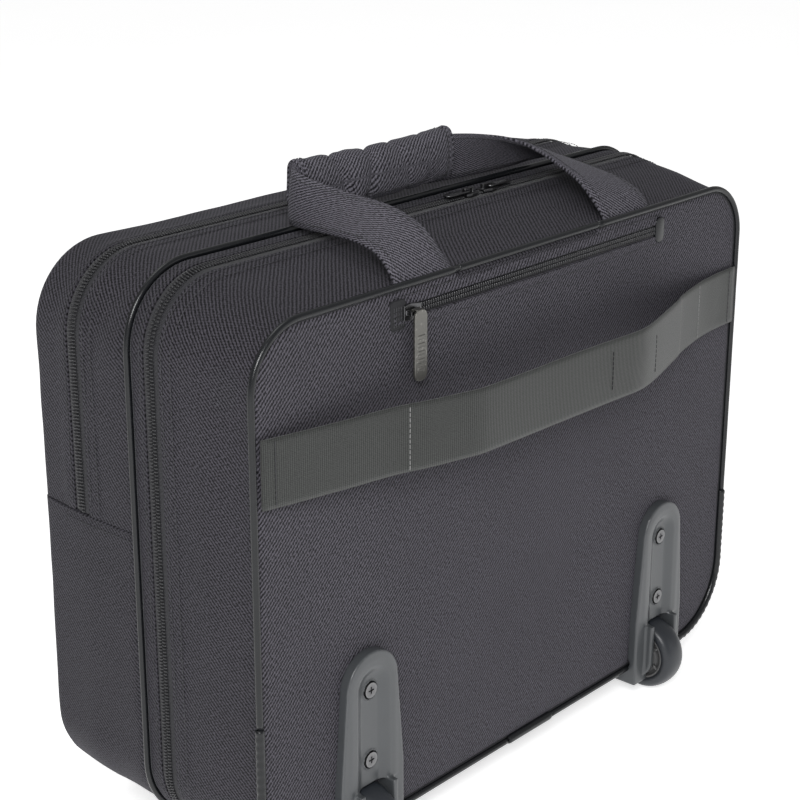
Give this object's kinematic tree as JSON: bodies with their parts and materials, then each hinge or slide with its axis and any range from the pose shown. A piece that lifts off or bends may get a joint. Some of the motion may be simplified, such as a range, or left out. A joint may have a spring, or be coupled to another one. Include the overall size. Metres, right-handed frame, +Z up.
{
  "type": "rolling laptop case",
  "caption": "Soft wheeled laptop case with piped edges, zipped compartments, padded carry handle, concealed telescopic pull handle, trolley strap and in-line wheels.",
  "frame": {"origin": "middle of the footprint, on the ground that the wheels and feet stand on", "axes": "+Z up; +X across the back panel, to the left of someone facing the back panel; +Y out of the back panel, where the trolley strap and wheel housings are; the organiser faces -Y"},
  "size_m": [0.4633, 0.2102, 0.3916],
  "materials": {
    "panel_fabric": "twill polyester",
    "gusset_fabric": "twill polyester",
    "handle_fabric": "twill polyester",
    "lining": "plain woven lining",
    "webbing": "ribbed webbing",
    "piping": "satin",
    "zip_tape": "woven tape",
    "zip_metal": "satin black",
    "pull_metal": "satin",
    "housing_plastic": "moulded satin",
    "handle_plastic": "moulded satin",
    "tyre": "polyurethane",
    "hub": "moulded",
    "steel": "satin",
    "tube": "anodised satin",
    "board": "plain",
    "foam": "brushed lining over foam"
  },
  "bodies": {
    "root": {"back_panel": "panel_fabric", "handle_flap": "gusset_fabric", "main_zip_rear": "zip_tape", "back_piping": "piping", "piping_sleeves": "piping", "trolley_strap": "webbing", "back_zip": "zip_tape", "rear_liner": "board", "base_board": "board", "laptop_pad": "foam", "laptop_hold_strap": "webbing", "laptop_back_foam": "foam", "handle_outer_tubes": "tube", "handle_outer_collars": "handle_plastic", "handle_lower_bracket": "handle_plastic", "handle_upper_bracket": "handle_plastic", "rear_gusset": "gusset_fabric", "wheel_housing_left": "housing_plastic", "wheel_housing_right": "housing_plastic", "wheel_axles": "steel", "housing_screws": "steel"},
    "wheel_left": {"wheel_tyre_left": "tyre", "wheel_hub_left": "hub", "wheel_bearings_left": "steel"},
    "wheel_right": {"wheel_tyre_right": "tyre", "wheel_hub_right": "hub", "wheel_bearings_right": "steel"},
    "handle_stage_1": {"stage_1_tubes": "tube", "stage_1_collars": "handle_plastic"},
    "handle_stage_2": {"stage_2_tubes": "tube", "stage_2_collars": "handle_plastic"},
    "handle_stage_3": {"stage_3_tubes": "tube", "pull_grip": "handle_plastic", "button_spring": "steel"},
    "grip_button": {"grip_button": "zip_metal"},
    "carry_handle": {"carry_strap_left": "handle_fabric", "carry_strap_right": "handle_fabric", "carry_wrap": "handle_fabric", "carry_core": "webbing"},
    "front_section": {"main_zip_front": "zip_tape", "mid_gusset": "gusset_fabric", "divider_panel": "gusset_fabric", "mid_piping": "piping", "organiser_gusset": "gusset_fabric", "organiser_zip_rear": "zip_tape", "lower_pocket": "gusset_fabric", "organiser_panel": "lining", "organiser_pockets": "lining", "front_feet": "housing_plastic"},
    "organiser_flap": {"organiser_zip_front": "zip_tape", "front_flap": "gusset_fabric", "flap_inner_pocket": "lining"},
    "main_slider_left": {"main_slider_left": "zip_metal"},
    "main_slider_right": {"main_slider_right": "zip_metal"},
    "main_pull_left": {"main_pull_left": "zip_metal"},
    "main_pull_right": {"main_pull_right": "zip_metal"},
    "back_slider": {"back_slider": "zip_metal"},
    "back_pull": {"back_pull": "pull_metal"},
    "organiser_slider": {"organiser_slider": "zip_metal"},
    "organiser_pull": {"organiser_pull": "zip_metal"}
  },
  "joints": [
    {"name": "wheel_left_spin", "type": "hinge", "parent": "root", "child": "wheel_left", "pos_m": [0.1425, 0.0659, 0.025], "axis": [1, 0, 0], "continuous": true},
    {"name": "wheel_right_spin", "type": "hinge", "parent": "root", "child": "wheel_right", "pos_m": [-0.1425, 0.0659, 0.025], "axis": [1, 0, 0], "continuous": true},
    {"name": "pull_handle_stage_1", "type": "slide", "parent": "root", "child": "handle_stage_1", "axis": [0, 0, 1], "range_m": [0, 0.205], "deforming": ["handle_flap"]},
    {"name": "pull_handle_stage_2", "type": "slide", "parent": "handle_stage_1", "child": "handle_stage_2", "axis": [0, 0, 1], "range_m": [0, 0.205]},
    {"name": "pull_handle_stage_3", "type": "slide", "parent": "handle_stage_2", "child": "handle_stage_3", "axis": [0, 0, 1], "range_m": [0, 0.205]},
    {"name": "grip_button_press", "type": "slide", "parent": "handle_stage_3", "child": "grip_button", "axis": [0, 0, -1], "range_m": [0, 0.0035], "stiffness_N_per_m": 900, "springref_m": -0.002, "deforming": ["button_spring"]},
    {"name": "carry_handle_lift", "type": "hinge", "parent": "root", "child": "carry_handle", "pos_m": [0, 0.0639, 0.3385], "axis": [1, 0, 0], "range_deg": [-95, 0]},
    {"name": "front_section_open", "type": "hinge", "parent": "root", "child": "front_section", "pos_m": [0, -0.0031, 0.0218], "axis": [1, 0, 0], "range_deg": [0, 90]},
    {"name": "organiser_flap_open", "type": "hinge", "parent": "front_section", "child": "organiser_flap", "pos_m": [0, -0.1053, 0.2062], "axis": [1, 0, 0], "range_deg": [0, 95]},
    {"name": "main_zip_slider_left", "type": "slide", "parent": "root", "child": "main_slider_left", "axis": [1, 0, 0], "range_m": [0, 0.18]},
    {"name": "main_zip_slider_right", "type": "slide", "parent": "root", "child": "main_slider_right", "axis": [-1, 0, 0], "range_m": [0, 0.115]},
    {"name": "main_zip_pull_left", "type": "hinge", "parent": "main_slider_left", "child": "main_pull_left", "pos_m": [-0.0265, -0.0031, 0.3542], "axis": [0, -1, 0], "range_deg": [0, 90]},
    {"name": "main_zip_pull_right", "type": "hinge", "parent": "main_slider_right", "child": "main_pull_right", "pos_m": [-0.0465, -0.0031, 0.3542], "axis": [0, 1, 0], "range_deg": [0, 90]},
    {"name": "back_zip_slider", "type": "slide", "parent": "root", "child": "back_slider", "axis": [-1, 0, 0], "range_m": [0, 0.225]},
    {"name": "back_zip_pull", "type": "hinge", "parent": "back_slider", "child": "back_pull", "pos_m": [0.105, 0.07285, 0.3225], "axis": [1, 0, 0], "range_deg": [0, 85]},
    {"name": "organiser_zip_slider", "type": "slide", "parent": "front_section", "child": "organiser_slider", "axis": [0, 0, 1], "range_m": [0, 0.07]},
    {"name": "organiser_zip_pull", "type": "hinge", "parent": "organiser_slider", "child": "organiser_pull", "pos_m": [-0.2307, -0.0661, 0.2215], "axis": [0, 1, 0], "range_deg": [0, 90]}
  ],
  "couplings": [
    {"joint": "pull_handle_stage_2", "follows": "pull_handle_stage_1", "ratio": 1},
    {"joint": "pull_handle_stage_3", "follows": "pull_handle_stage_1", "ratio": 1}
  ]
}
